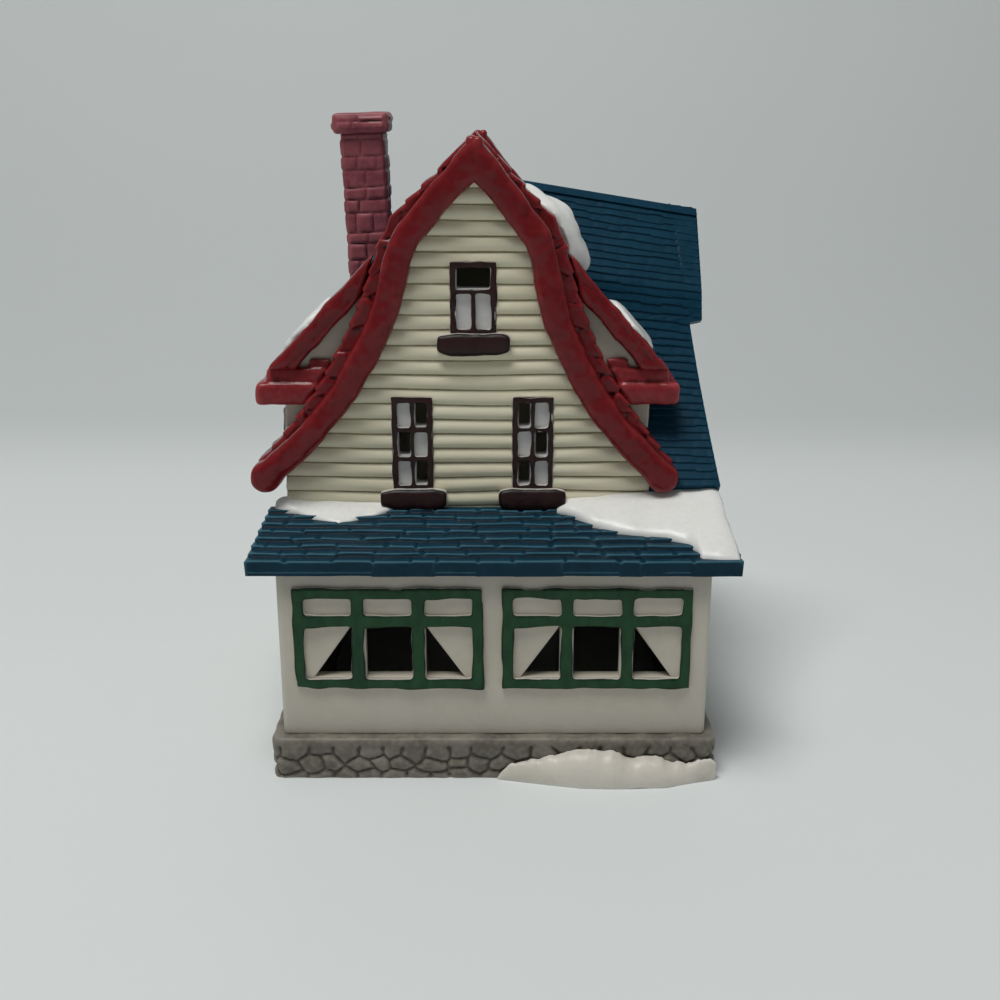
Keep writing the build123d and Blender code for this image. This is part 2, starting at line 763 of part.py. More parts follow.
def flame(inset):
    """Half outline of the bulb from neck to tip, drawn in from the outside of the glass."""
    belly_y = base_start - bulb_belly
    neck = (bulb_neck_radius - inset, base_start, 0)
    belly = (bulb_radius - inset, belly_y, 0)
    tip = (0, base_start - bulb_length + inset, 0)
    lower = Spline(neck, belly, tangents=[(1, -1, 0), (0, -1, 0)])
    upper = Spline(belly, tip, tangents=[(0, -1, 0), (-1, 0, 0)], tangent_scalars=[1.3, 0.5])
    return lower, upper


outer_lower, outer_upper = flame(0)
inner_lower, inner_upper = flame(bulb_glass_wall)
glass_wire = Wire(
    [
        outer_lower,
        outer_upper,
        Line(outer_upper @ 1, inner_upper @ 1),
        inner_upper,
        inner_lower,
        Line(inner_lower @ 0, outer_lower @ 0),
    ]
)
parts["bulb_glass"] = Pos(0, lamp_y, lamp_z) * revolve(make_face(glass_wire), axis=Axis.Y)

stem_tip = base_start - stem_length
stem = turned([(0, stem_tip), (stem_radius, stem_tip), (stem_radius, base_start), (0, base_start)], lamp_y)
wire_tip = stem_tip - filament_reach
for side in (-1, 1):
    lead = Pos(side * stem_radius / 2, lamp_y, lamp_z)
    bend = (0, stem_tip, 0)
    route = Polyline((0, stem_tip + filament_reach, 0), bend, (side * filament_half_span, wire_tip, 0))
    section = Plane(route @ 0, z_dir=route % 0) * Circle(filament_radius)
    stem += lead * sweep(section, path=route, transition=Transition.RIGHT)
span = filament_half_span + stem_radius / 2
stem += Pos(0, lamp_y + wire_tip, lamp_z) * Rot(0, 90, 0) * Cylinder(filament_radius, 2 * span)
parts["bulb_filament"] = stem

os.makedirs("parts", exist_ok=True)
for name, shape in parts.items():
    export_step(shape, f"parts/{name}.step")
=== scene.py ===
import math
import random

import bmesh
import bpy
import numpy as np
from mathutils import Matrix, Vector, noise


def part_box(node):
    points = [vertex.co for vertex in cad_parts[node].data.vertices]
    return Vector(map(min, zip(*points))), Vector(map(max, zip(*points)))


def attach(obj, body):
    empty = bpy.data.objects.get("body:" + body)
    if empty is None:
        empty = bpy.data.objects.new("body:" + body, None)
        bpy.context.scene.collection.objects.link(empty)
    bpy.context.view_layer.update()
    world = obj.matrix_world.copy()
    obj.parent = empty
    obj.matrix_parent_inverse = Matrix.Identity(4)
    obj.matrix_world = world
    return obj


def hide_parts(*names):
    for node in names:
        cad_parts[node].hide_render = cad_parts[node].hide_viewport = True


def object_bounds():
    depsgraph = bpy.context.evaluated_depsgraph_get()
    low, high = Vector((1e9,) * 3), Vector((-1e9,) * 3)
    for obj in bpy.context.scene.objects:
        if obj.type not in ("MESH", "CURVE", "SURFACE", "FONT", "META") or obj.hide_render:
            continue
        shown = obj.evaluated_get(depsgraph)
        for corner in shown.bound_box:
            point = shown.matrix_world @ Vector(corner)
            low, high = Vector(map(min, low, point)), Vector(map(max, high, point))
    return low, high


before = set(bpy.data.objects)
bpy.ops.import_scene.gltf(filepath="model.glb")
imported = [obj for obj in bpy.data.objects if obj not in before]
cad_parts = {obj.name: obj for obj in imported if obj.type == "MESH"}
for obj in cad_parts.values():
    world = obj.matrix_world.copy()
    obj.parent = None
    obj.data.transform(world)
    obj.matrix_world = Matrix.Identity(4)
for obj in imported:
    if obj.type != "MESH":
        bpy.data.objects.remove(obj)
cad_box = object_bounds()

# Lighted ceramic village house, dressed as slip-cast pottery painted by hand.
# Metres in the shared frame: X right, Y to the back, Z up; shapes are reckoned in millimetres.
mm = 0.001
scene = bpy.context.scene
scene.view_settings.view_transform = "Standard"

FRONT = np.array((0.0, -1.0, 0.0))
REAR = np.array((0.0, 1.0, 0.0))
LEFT = np.array((-1.0, 0.0, 0.0))
RIGHT = np.array((1.0, 0.0, 0.0))

# Sizes of the house that the shingles, boards, bricks and snow follow
gable_front, wall_back, wall_side, wall_top = -32.5, 60.5, 57.0, 70.0
main_front, main_back = -25.5, 61.5
apex_z, gable_x, gable_lean = 157.5, -5.1, math.tan(math.radians(2.1))
main_corners = ((0.0, apex_z), (15.2, apex_z - 18.2), (20.5, 102.6), (51.9, 75.6))
wing_y, wing_end, wing_eave_z, wing_batter = 14.5, 62.0, 72.0, math.tan(math.radians(8.5))
wing_corners = [((0.0, z), (13.0, z - 16.5), (19.0, 99.0), (47.0, wing_eave_z)) for z in (148.0, 137.3)]
wing_width, wing_tuck, verge_step = 62.0, 4.5, 0.12
hood_end, hood_z = 59.2, 115.5
porch_run, porch_half, porch_back_half, porch_top_z = 29.0, 64.0, 61.6, 68.5
porch_pitch = math.radians(12.6)
roof_thickness, sheet_gap = 4.2, 0.6
board_pitch, board_swell, front_board_z = 4.05, 1.15, 65.016
chimney_lean = math.radians(2.2)

# How far the red boards are drawn together at the apex, and how far in the rear pair stands
apex_reach, apex_lap = 5.0, 1.6
rear_inset, rear_step = 1.2, 0.25

# Joints between the fieldstones, and the smooth ledge above them
joint_width, joint_depth, ledge, ledge_fade = 0.75, 1.2, 2.0, 1.2

# Snow: growth of the large heap, depth of the thin ones, how fast they thin, and bare rim of the porch roof
heap_growth, thin_depth, thin_fade, snow_margin = 1.14, 2.7, 2.0, 0.3

# Outer rows and columns of a sheet that are turned down over its borders
border = 2


# Working meshes
def cad(node):
    """Working copy of one CAD node with its loose triangles merged."""
    bm = bmesh.new()
    bm.from_mesh(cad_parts[node].data)
    bmesh.ops.remove_doubles(bm, verts=bm.verts, dist=0.002 * mm)
    return bm


def flats(bm, degrees=0.5):
    """Joins the triangles that lie in one flat face."""
    bmesh.ops.dissolve_limit(
        bm, angle_limit=math.radians(degrees), use_dissolve_boundaries=False, verts=bm.verts, edges=bm.edges
    )
    return bm


def round_edges(bm, radius, segments, degrees=35):
    """Rounds every edge sharper than the angle."""
    edges = [e for e in bm.edges if len(e.link_faces) == 2 and e.calc_face_angle(0) > math.radians(degrees)]
    bmesh.ops.bevel(
        bm, geom=edges, offset=radius * mm, offset_type="OFFSET", affect="EDGES", segments=segments,
        profile=0.5, material=-1, clamp_overlap=True,
    )
    return bm


def all_of(bm):
    """Everything in a working mesh."""
    return bm.verts[:] + bm.edges[:] + bm.faces[:]


def around(faces):
    """Faces with their own edges and corners."""
    geom = set(faces)
    for f in faces:
        geom.update(f.edges)
        geom.update(f.verts)
    return list(geom)


def only_faces(geom):
    """The faces in a list of mesh elements."""
    return [g for g in geom if isinstance(g, bmesh.types.BMFace)]


def plain(bm):
    """Finishes a working mesh as it is."""
    me = bpy.data.meshes.new("slip")
    bm.to_mesh(me)
    bm.free()
    return me


def joined(*skins):
    """One mesh out of several."""
    bm = bmesh.new()
    for me in skins:
        bm.from_mesh(me)
        bpy.data.meshes.remove(me)
    return plain(bm)


def raise_tiles(bm, cells, groove, lifts, dice):
    """Raises each cell a little, leaving a sloping joint round it."""
    groups = [[] for _ in lifts]
    for cell in cells:
        if cell.is_valid and cell.calc_area() > 24 * (groove * mm) ** 2:
            groups[dice.randrange(len(lifts))].append(cell)
    for group, lift in zip(groups, lifts):
        bmesh.ops.inset_individual(
            bm, faces=group, thickness=groove * mm, depth=lift * mm, use_even_offset=True
        )


def cross_cut(bm, wanted, along, width, skew, dice):
    """Cuts each wanted face across into pieces of uneven width."""
    row = bm.faces.layers.int.get("row") or bm.faces.layers.int.new("row")
    cells = []
    for k, face in enumerate([f for f in bm.faces if wanted(f)], 1):
        face[row] = k
        spots = [v.co.dot(along) for v in face.verts]
        across = along.cross(face.normal)
        middle = face.calc_center_median()
        where = min(spots) + width * dice.uniform(0.25, 1.0) * mm
        course = [face]
        while where < max(spots) - 0.35 * width * mm:
            cut = bmesh.ops.bisect_plane(
                bm, geom=around(course), dist=1e-7, plane_co=middle + along * (where - middle.dot(along)),
                plane_no=along + across * dice.uniform(-skew, skew),
            )
            course = [f for f in only_faces(cut["geom"]) if f[row] == k]
            where += width * dice.uniform(0.7, 1.35) * mm
        cells.extend(course)
    return cells


def cast(bm, voxel, rounds):
    """Fuses a working mesh into one soft slip-cast skin."""
    me = plain(bm)
    ob = bpy.data.objects.new("slip", me)
    scene.collection.objects.link(ob)
    fuse = ob.modifiers.new("fuse", "REMESH")
    fuse.mode = "VOXEL"
    fuse.voxel_size = voxel * mm
    soften = ob.modifiers.new("soften", "SMOOTH")
    soften.factor = 0.5
    soften.iterations = rounds
    out = bpy.data.meshes.new_from_object(ob.evaluated_get(bpy.context.evaluated_depsgraph_get()))
    bpy.data.objects.remove(ob)
    bpy.data.meshes.remove(me)
    return out


def points(me):
    """Vertex places as an array."""
    co = np.empty(len(me.vertices) * 3)
    me.vertices.foreach_get("co", co)
    return co.reshape(-1, 3)


def directions(me):
    """Vertex normals as an array."""
    n = np.empty(len(me.vertices) * 3)
    me.vertex_normals.foreach_get("vector", n)
    return n.reshape(-1, 3)


def set_points(me, co):
    """Moves the vertices to the places given."""
    me.vertices.foreach_set("co", co.astype(np.float32).ravel())
    me.update()


def dents(co, size, seed):
    """Smooth random field over the places given, about -1 to 1, with hills of the size in millimetres."""
    step = 1 / (size * mm)
    shift = Vector((seed * 7.31, seed * 3.17, seed * 5.83))
    return np.array([noise.noise(Vector(p) * step + shift) for p in co])


def press(me, size, depth, seed):
    """Presses soft uneven dents into a skin along its normals."""
    co = points(me)
    set_points(me, co + directions(me) * (dents(co, size, seed) * depth * mm)[:, None])
    return me


def keep_field(me, name, values):
    """Stores one number for each vertex."""
    field = me.attributes.new(name, "FLOAT", "POINT")
    field.data.foreach_set("value", values.astype(np.float32))


def mark_hollows(me, rounds):
    """Stores how hollow the skin is at each vertex: above 0 in joints, below 0 on ridges."""
    co = points(me)
    n = directions(me)
    ends = np.empty(len(me.edges) * 2, dtype=np.int64)
    me.edges.foreach_get("vertices", ends)
    a, b = ends.reshape(-1, 2).T
    d = co[b] - co[a]
    length = np.linalg.norm(d, axis=1) + 1e-12
    count = np.bincount(a, minlength=len(co)) + np.bincount(b, minlength=len(co)) + 1e-9

    def spread(at_a, at_b):
        return (np.bincount(a, at_a, len(co)) + np.bincount(b, at_b, len(co))) / count

    hollow = spread((n[a] * d).sum(1) / length, -(n[b] * d).sum(1) / length)
    for _ in range(rounds):
        hollow = 0.4 * hollow + 0.6 * spread(hollow[b], hollow[a])
    keep_field(me, "hollow", hollow)


def put(name, me, nodes, material, facing=None, blur=3):
    """Sets a finished skin in the scene in place of its CAD nodes, kept within the room the CAD takes up."""
    me.name = name
    set_points(me, np.clip(points(me), *np.array(cad_box)))
    mark_hollows(me, blur)
    if facing is not None:
        keep_field(me, "facing", directions(me) @ facing)
    me.polygons.foreach_set("use_smooth", np.ones(len(me.polygons), dtype=bool))
    me.materials.clear()
    me.materials.append(material)
    ob = bpy.data.objects.new(name, me)
    scene.collection.objects.link(ob)
    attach(ob, "house")
    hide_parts(*nodes)


# Sheets laid over the roofs
def drape(surface, u, share, rise):
    """Sheet over a surface: column places across, row places down and the rise above it at every crossing."""
    bm = bmesh.new()
    bmesh.ops.create_grid(bm, x_segments=share.shape[1] - 1, y_segments=share.shape[0] - 1, size=0.5)
    me = plain(bm)
    co = points(me)
    column = np.unique(co[:, 0].round(5), return_inverse=True)[1]
    row = np.unique(-co[:, 1].round(5), return_inverse=True)[1]
    place, out = surface(u[column], share[row, column])
    set_points(me, (place + out * rise[row, column][:, None]) * mm)
    bm = bmesh.new()
    bm.from_mesh(me)
    bpy.data.meshes.remove(me)
    bmesh.ops.remove_doubles(bm, verts=bm.verts, dist=0.01 * mm)
    me = plain(bm)
    if (directions(me)[:, 2]).mean() < 0:
        me.flip_normals()
    return me


def turn_down(rise, lip, skirt):
    """Turns the two outer rows and columns of a sheet down over its borders."""
    for a, b, c in ((0, 1, 2), (-1, -2, -3)):
        rise[b] = rise[c] - lip
        rise[a] = -skirt
    for a, b, c in ((0, 1, 2), (-1, -2, -3)):
        rise[:, b] = np.minimum(rise[:, b], rise[:, c] - lip)
        rise[:, a] = -skirt
    return rise


def spaced(steps):
    """Even places from 0 to 1, repeated at both ends for the borders."""
    return np.clip((np.arange(steps + 1 + 2 * border) - border) / steps, 0, 1)


def courses(surface, count, lap, width, shingle, seed, wave, jog, joint, skirt=3.0):
    """Lapped courses of shingles, cut unevenly by hand, over a surface of the width given."""
    profile = ((0.0, 0.0), (0.25, 0.3), (0.7, 0.75), (0.92, 1.0), (0.985, 0.85))
    rows, column_width = len(profile), 0.75
    dice = random.Random(seed)
    u = spaced(round(width / column_width))
    lines = np.zeros((count + 1, len(u)))
    laps = np.ones((count, len(u)))
    for k in range(count):
        where = -dice.random() * shingle
        while where < width:
            size = shingle * dice.uniform(0.55, 1.6)
            inside = (u * width >= where) & (u * width < where + size)
            lines[k + 1][inside] = dice.uniform(-jog, jog)
            laps[k][inside] = dice.uniform(0.8, 1.15)
            laps[k][np.abs(u * width - where) < 0.5] *= joint
            where += size
        lines[k + 1] += [wave * noise.noise(Vector((a * width / 11, k * 3.7, seed))) for a in u]
    lines[count] *= 0.5
    share = np.zeros((rows * count + 2 * border, len(u)))
    rise = np.zeros_like(share)
    for k in range(count):
        for p, (f, g) in enumerate(profile, border + rows * k):
            share[p] = (k + f + (1 - f) * lines[k] + f * lines[k + 1]) / count
            rise[p] = lap * laps[k] * g
    share[:border] = share[border]
    share[-border:] = share[-border - 1]
    return drape(surface, u, share, turn_down(rise, 0.4, skirt))


def slope(corners, thickness):
    """Half outline of a flared slope on its outside, spaced evenly from ridge to eave, and its normals."""
    curve_steps, table_rows = 60, 240
    ridge, knee, bell, eave = [np.array(c) for c in corners]
    t = np.linspace(0, 1, curve_steps)[:, None]
    fine = np.vstack([ridge, (1 - t) ** 2 * knee + 2 * t * (1 - t) * bell + t * t * eave])
    for outside in (False, True):
        length = np.append(0, np.cumsum(np.linalg.norm(np.diff(fine, axis=0), axis=1)))
        even = np.linspace(0, length[-1], table_rows)
        line = np.column_stack([np.interp(even, length, fine[:, i]) for i in (0, 1)])
        way = np.gradient(line, axis=0)
        way /= np.linalg.norm(way, axis=1)[:, None]
        normal = np.column_stack([-way[:, 1], way[:, 0]])
        if not outside:
            fine = np.vstack([ridge + (0, thickness / normal[0, 1]), line + normal * thickness])
    return line, normal


def along(table, share):
    """Rows of a table read at shares from 0 to 1."""
    at = np.clip(share, 0, 1) * (len(table) - 1)
    return np.column_stack([np.interp(at, np.arange(len(table)), table[:, i]) for i in range(table.shape[1])])


main_shell = slope(main_corners, roof_thickness + sheet_gap)


def main_slope(side):
    """Outside of one main slope, from its front to its back."""
    def surface(u, share):
        h, z = along(main_shell[0], share).T
        nh, nz = along(main_shell[1], share).T
        x = gable_x + side * h - gable_lean * (apex_z - z)
        y = main_front + (main_back - main_front) * u
        return np.column_stack([x, y, z]), np.column_stack([side * nh, 0 * u, nz])
    return surface


wing_shells = [slope(corners, roof_thickness + sheet_gap) for corners in wing_corners]


def wing_slope(side):
    """Outside of one wing slope, reckoned back from its verge as far as the main roof."""
    def surface(u, share):
        ends = [along(shell[0], share) for shell in wing_shells]
        turns = [along(shell[1], share) for shell in wing_shells]
        z = ends[1][:, 1]
        verge = np.where(z > hood_z, hood_end, wing_end - wing_batter * (z - wing_eave_z)) - verge_step * side
        h_main = np.interp(-z, -main_shell[0][:, 1], main_shell[0][:, 0])
        inner = gable_x + h_main - gable_lean * (apex_z - z) - wing_tuck
        x = np.maximum(verge - wing_width * (1 - u), inner)
        f = ((x - gable_x) / (wing_end - gable_x))[:, None]
        h, z = (ends[0] * (1 - f) + ends[1] * f).T
        nh, nz = (turns[0] * (1 - f) + turns[1] * f).T
        return np.column_stack([x, wing_y + side * h, z]), np.column_stack([0 * u, side * nh, nz])
    return surface


def porch_slope(u, share):
    """Top of the porch roof from the gable to its eave."""
    out = porch_run * share
    half = porch_back_half + (porch_half - porch_back_half) * share
    level = porch_top_z - math.tan(porch_pitch) * out
    place = np.column_stack([half * (2 * u - 1), gable_front - out, level])
    return place, np.tile((0.0, -math.sin(porch_pitch), math.cos(porch_pitch)), (len(u), 1))


def core(node, voxel=0.9, inset=0.6):
    """Body of a roof under its shingles, drawn in a little on every side."""
    me = cast(cad(node), voxel, 1)
    set_points(me, points(me) - directions(me) * inset * mm)
    return me


def grooved(node, side, pitch, depth, voxel, seed):
    """Small roof whose upper face is pressed into lapped courses."""
    me = cast(cad(node), voxel, 2)
    co, n = points(me), directions(me)
    aside, steep = side * 0.7, 0.71
    down = np.array((aside, 0, -steep))
    share = (co @ down / (pitch * mm) + 0.25 * dents(co, 6, seed)) % 1.0
    up = np.clip(n @ np.array((aside, 0, steep)) * 4 - 2.4, 0, 1)
    set_points(me, co + n * ((share ** 0.8 - 0.7) * depth * mm * up)[:, None])
    return me


# Paint recipes
class Wire:
    """A value on its way through a paint recipe."""

    def __init__(self, paint, socket):
        self.paint = paint
        self.socket = socket

    def __add__(self, other):
        return self.paint.sum("ADD", self, other)

    def __sub__(self, other):
        return self.paint.sum("SUBTRACT", self, other)

    def __rsub__(self, other):
        return self.paint.sum("SUBTRACT", other, self)

    def __mul__(self, other):
        return self.paint.sum("MULTIPLY", self, other)

    __radd__ = __add__
    __rmul__ = __mul__


class Paint:
    """One procedural material."""

    def __init__(self, name):
        self.material = bpy.data.materials.new(name)
        self.material.use_nodes = True
        self.tree = self.material.node_tree
        self.tree.nodes.clear()
        self.skin = self.node("ShaderNodeBsdfPrincipled")
        self.node("ShaderNodeOutputMaterial", {"Surface": Wire(self, self.skin.outputs[0])})
        self.where = Wire(self, self.node("ShaderNodeTexCoord").outputs["Object"])

    def node(self, kind, feeds=None, **settings):
        made = self.tree.nodes.new(kind)
        for key, value in settings.items():
            setattr(made, key, value)
        for key, value in (feeds or {}).items():
            self.feed(made.inputs[key], value)
        return made

    def feed(self, socket, value):
        if isinstance(value, Wire):
            self.tree.links.new(value.socket, socket)
        elif isinstance(value, tuple) and len(socket.default_value) == 4:
            socket.default_value = (*value, 1.0)
        else:
            socket.default_value = value

    def sum(self, kind, a, b):
        return Wire(self, self.node("ShaderNodeMath", {0: a, 1: b}, operation=kind).outputs[0])

    def field(self, name):
        return Wire(self, self.node("ShaderNodeAttribute", attribute_name=name).outputs["Fac"])

    def cloud(self, size, detail=3.0, stretch=(1, 1, 1), shift=0.0):
        """Random field from 0 to 1 with patches of the size in millimetres."""
        spot = (shift, shift * 0.7, shift * 1.3)
        grid = self.node("ShaderNodeMapping", {"Vector": self.where, "Scale": stretch, "Location": spot})
        feeds = {"Vector": Wire(self, grid.outputs[0]), "Scale": 1 / (size * mm), "Detail": detail}
        return Wire(self, self.node("ShaderNodeTexNoise", feeds).outputs["Fac"])

    def ease(self, value, low, high):
        feeds = {"Value": value, "From Min": low, "From Max": high}
        return Wire(self, self.node("ShaderNodeMapRange", feeds, interpolation_type="SMOOTHSTEP").outputs[0])

    def mix(self, share, a, b):
        return Wire(self, self.node("ShaderNodeMix", {0: share, 6: a, 7: b}, data_type="RGBA").outputs[2])

    def finish(self, color, rough, bump=None, depth=0.0, **fixed):
        feeds = {"Base Color": color, "Roughness": rough}
        feeds.update((key.replace("_", " "), value) for key, value in fixed.items())
        if bump is not None:
            made = self.node("ShaderNodeBump", {"Strength": 1.0, "Distance": depth * mm, "Height": bump})
            feeds["Normal"] = Wire(self, made.outputs[0])
        for key, value in feeds.items():
            self.feed(self.skin.inputs[key], value)
        return self.material


def brushed(name, colors, joint_wash_and_shade, ridge, rough, joint_wash_and_shade_at, ridge_highlight_and_thin_paint_at, shine, stretch=(1, 1, 1)):
    """Brush-painted bisque: patchy colour, a darker wash in the joints that is also painted shade in every
    hollow, and lighter paint on the ridges that is thin paint and a painted highlight.
    """
    patch, stroke, ragged, speck = 9, 1.6, 3.0, 0.5
    p = Paint(name)
    hollow = p.field("hollow")
    color = p.mix(p.ease(p.cloud(patch, 3, stretch), 0.32, 0.68), colors[0], colors[1])
    color = p.mix(p.field("tint"), color, colors[1])
    streak = p.cloud(stroke, 4, stretch, shift=3.0)
    color = p.mix(p.ease(streak, 0.35, 0.75) * 0.45, color, colors[2])
    uneven = (p.cloud(ragged, 3, shift=9.0) - 0.5) * 0.08
    # Darker in the hollows: the wash in the joints together with painted shade in creases and under edges.
    color = p.mix(p.ease(hollow + uneven, *joint_wash_and_shade_at), color, joint_wash_and_shade)
    # Lighter on the ridges: paint lying thin there together with a painted highlight.
    color = p.mix(p.ease(uneven - hollow, *ridge_highlight_and_thin_paint_at) * 0.75, color, ridge)
    grain = p.cloud(speck, 2, shift=5.0)
    return p.finish(
        color, p.ease(streak, 0.2, 0.8) * 0.12 + (rough - 0.06), grain * 0.5 + streak, 0.03, IOR=1.45,
        Specular_IOR_Level=shine,
    )


def lined(name, paint, dark, bare, spread, shine):
    """Window paint laid on the raised bars only, thin and ragged at the edges so bare clay shows."""
    p = Paint(name)
    ragged = (p.cloud(2.2, 4) - 0.5) * 0.5
    facing = p.field("facing")
    stroke = p.ease(p.cloud(2.6, 3, (1, 1, 0.45), 2.0), 0.3, 0.7)
    # Faces turned out from the wall take the lighter paint, and the sides and rounded edges of the bars take
    # the dark one: painted shade.
    color = p.mix(stroke * 0.4 + p.ease(facing, 0.8, 1.0) * 0.6, dark, paint)
    color = p.mix(p.ease(0.0 - p.field("hollow"), 0.03, 0.2) * 0.8, color, dark)
    color = p.mix(p.ease(facing + ragged, spread, spread + 0.25), bare, color)
    return p.finish(
        color, 0.34 + 0.1 * stroke, p.cloud(0.8, 3, shift=4.0), 0.05, IOR=1.45, Specular_IOR_Level=shine
    )


def carried(name, a, b, rough, **fixed):
    """Plain finish for the lamp's own parts."""
    p = Paint(name)
    cloud = p.cloud(2.0, 4)
    return p.finish(p.mix(cloud, a, b), cloud * 0.12 + (rough - 0.06), cloud, 0.01, **fixed)


# In each finish below, the hollow colour is a joint wash with painted shade, and the ridge colour is thin
# paint with a painted highlight.
soft = (0.02, 0.16)
white = brushed(
    "bisque_white", colors=[(0.575, 0.53, 0.445), (0.545, 0.50, 0.415), (0.605, 0.565, 0.48)],
    joint_wash_and_shade=(0.40, 0.36, 0.29), ridge=(0.64, 0.605, 0.525), rough=0.42,
    joint_wash_and_shade_at=soft, ridge_highlight_and_thin_paint_at=soft, shine=0.3,
)
cream = brushed(
    "cream_boards", colors=[(0.75, 0.71, 0.535), (0.71, 0.665, 0.485), (0.78, 0.74, 0.575)],
    joint_wash_and_shade=(0.27, 0.24, 0.145), ridge=(0.76, 0.73, 0.61), rough=0.40,
    joint_wash_and_shade_at=(0.015, 0.15), ridge_highlight_and_thin_paint_at=(0.03, 0.25), shine=0.3, stretch=(0.35, 1, 1),
)
navy = brushed(
    "roof_navy", colors=[(0.0036, 0.035, 0.061), (0.0025, 0.027, 0.049), (0.0055, 0.044, 0.076)],
    joint_wash_and_shade=(0.0007, 0.007, 0.015), ridge=(0.050, 0.150, 0.200), rough=0.40,
    joint_wash_and_shade_at=(0.02, 0.14), ridge_highlight_and_thin_paint_at=(0.03, 0.20), shine=0.14,
)
slate = brushed(
    "roof_navy_fine", colors=[(0.0035, 0.037, 0.068), (0.0025, 0.029, 0.055), (0.005, 0.045, 0.082)],
    joint_wash_and_shade=(0.0018, 0.019, 0.037), ridge=(0.010, 0.066, 0.108), rough=0.45,
    joint_wash_and_shade_at=(0.03, 0.2), ridge_highlight_and_thin_paint_at=(0.05, 0.25), shine=0.1,
)
red = brushed(
    "trim_red", colors=[(0.155, 0.0075, 0.011), (0.130, 0.006, 0.0085), (0.19, 0.012, 0.015)],
    joint_wash_and_shade=(0.014, 0.0009, 0.0018), ridge=(0.27, 0.026, 0.029), rough=0.22,
    joint_wash_and_shade_at=(0.006, 0.08), ridge_highlight_and_thin_paint_at=(0.015, 0.12), shine=0.3,
)
# Lighter copy of the trim red for the dormer cornices: painted light, as if the cornices caught the light
# from above.
lit_red = brushed(
    "trim_red_lit", colors=[(0.240, 0.021, 0.026), (0.190, 0.014, 0.018), (0.300, 0.036, 0.040)],
    joint_wash_and_shade=(0.022, 0.0014, 0.0028), ridge=(0.36, 0.055, 0.056), rough=0.22,
    joint_wash_and_shade_at=(0.006, 0.08), ridge_highlight_and_thin_paint_at=(0.015, 0.12), shine=0.3,
)
mauve = brushed(
    "brick_mauve", colors=[(0.315, 0.082, 0.100), (0.225, 0.054, 0.069), (0.40, 0.122, 0.138)],
    joint_wash_and_shade=(0.060, 0.012, 0.016), ridge=(0.42, 0.16, 0.165), rough=0.38,
    joint_wash_and_shade_at=(0.012, 0.11), ridge_highlight_and_thin_paint_at=(0.03, 0.2), shine=0.25,
)
stone = brushed(
    "stone_grey", colors=[(0.225, 0.207, 0.170), (0.125, 0.113, 0.091), (0.285, 0.267, 0.224)],
    joint_wash_and_shade=(0.100, 0.090, 0.072), ridge=(0.34, 0.32, 0.275), rough=0.42,
    joint_wash_and_shade_at=(0.012, 0.11), ridge_highlight_and_thin_paint_at=(0.03, 0.2), shine=0.25,
)
snow = brushed(
    "snow_white", colors=[(0.81, 0.82, 0.79), (0.78, 0.785, 0.75), (0.84, 0.85, 0.825)],
    joint_wash_and_shade=(0.62, 0.615, 0.57), ridge=(0.85, 0.86, 0.845), rough=0.30,
    joint_wash_and_shade_at=(0.05, 0.28), ridge_highlight_and_thin_paint_at=soft, shine=0.4,
)
drift_white = brushed(
    "drift_white", colors=[(0.66, 0.625, 0.55), (0.60, 0.565, 0.485), (0.70, 0.675, 0.61)],
    joint_wash_and_shade=(0.40, 0.365, 0.29), ridge=(0.77, 0.75, 0.69), rough=0.36,
    joint_wash_and_shade_at=(0.04, 0.25), ridge_highlight_and_thin_paint_at=soft, shine=0.35,
)
pane = brushed(
    "pane_white", colors=[(0.66, 0.65, 0.645), (0.61, 0.60, 0.595), (0.70, 0.695, 0.69)],
    joint_wash_and_shade=(0.32, 0.30, 0.28), ridge=(0.74, 0.73, 0.73), rough=0.35,
    joint_wash_and_shade_at=(0.05, 0.24), ridge_highlight_and_thin_paint_at=soft, shine=0.4,
)
green = lined(
    "porch_green", paint=(0.021, 0.073, 0.030), dark=(0.0025, 0.016, 0.007), bare=(0.56, 0.54, 0.48),
    spread=0.26, shine=0.2,
)
brown = lined(
    "frame_brown", paint=(0.030, 0.0085, 0.009), dark=(0.004, 0.0015, 0.0015), bare=(0.56, 0.54, 0.50),
    spread=0.12, shine=0.3,
)
brass = (0.78, 0.58, 0.26), (0.70, 0.50, 0.22)
lamp_finishes = {
    "lamp_socket": carried("lamp_plastic", (0.76, 0.75, 0.70), (0.70, 0.69, 0.64), 0.40),
    "lamp_clip": carried("clip_steel", (0.60, 0.60, 0.60), (0.52, 0.52, 0.53), 0.28, Metallic=1.0),
    "socket_shell": carried("contact_brass", *brass, 0.30, Metallic=1.0),
    "socket_contact": carried("contact_brass_plate", *brass, 0.30, Metallic=1.0),
    "bulb_base": carried("bulb_metal", (0.74, 0.74, 0.75), (0.66, 0.66, 0.67), 0.25, Metallic=1.0),
    "bulb_glass": carried(
        "bulb_clear", (0.97, 0.97, 0.97), (0.93, 0.94, 0.95), 0.08, Transmission_Weight=1.0, IOR=1.5
    ),
    "bulb_filament": carried("filament_metal", (0.42, 0.41, 0.39), (0.34, 0.33, 0.32), 0.35, Metallic=1.0),
}
for node, finish in lamp_finishes.items():
    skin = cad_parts[node].data
    skin.materials.clear()
    skin.materials.append(finish)


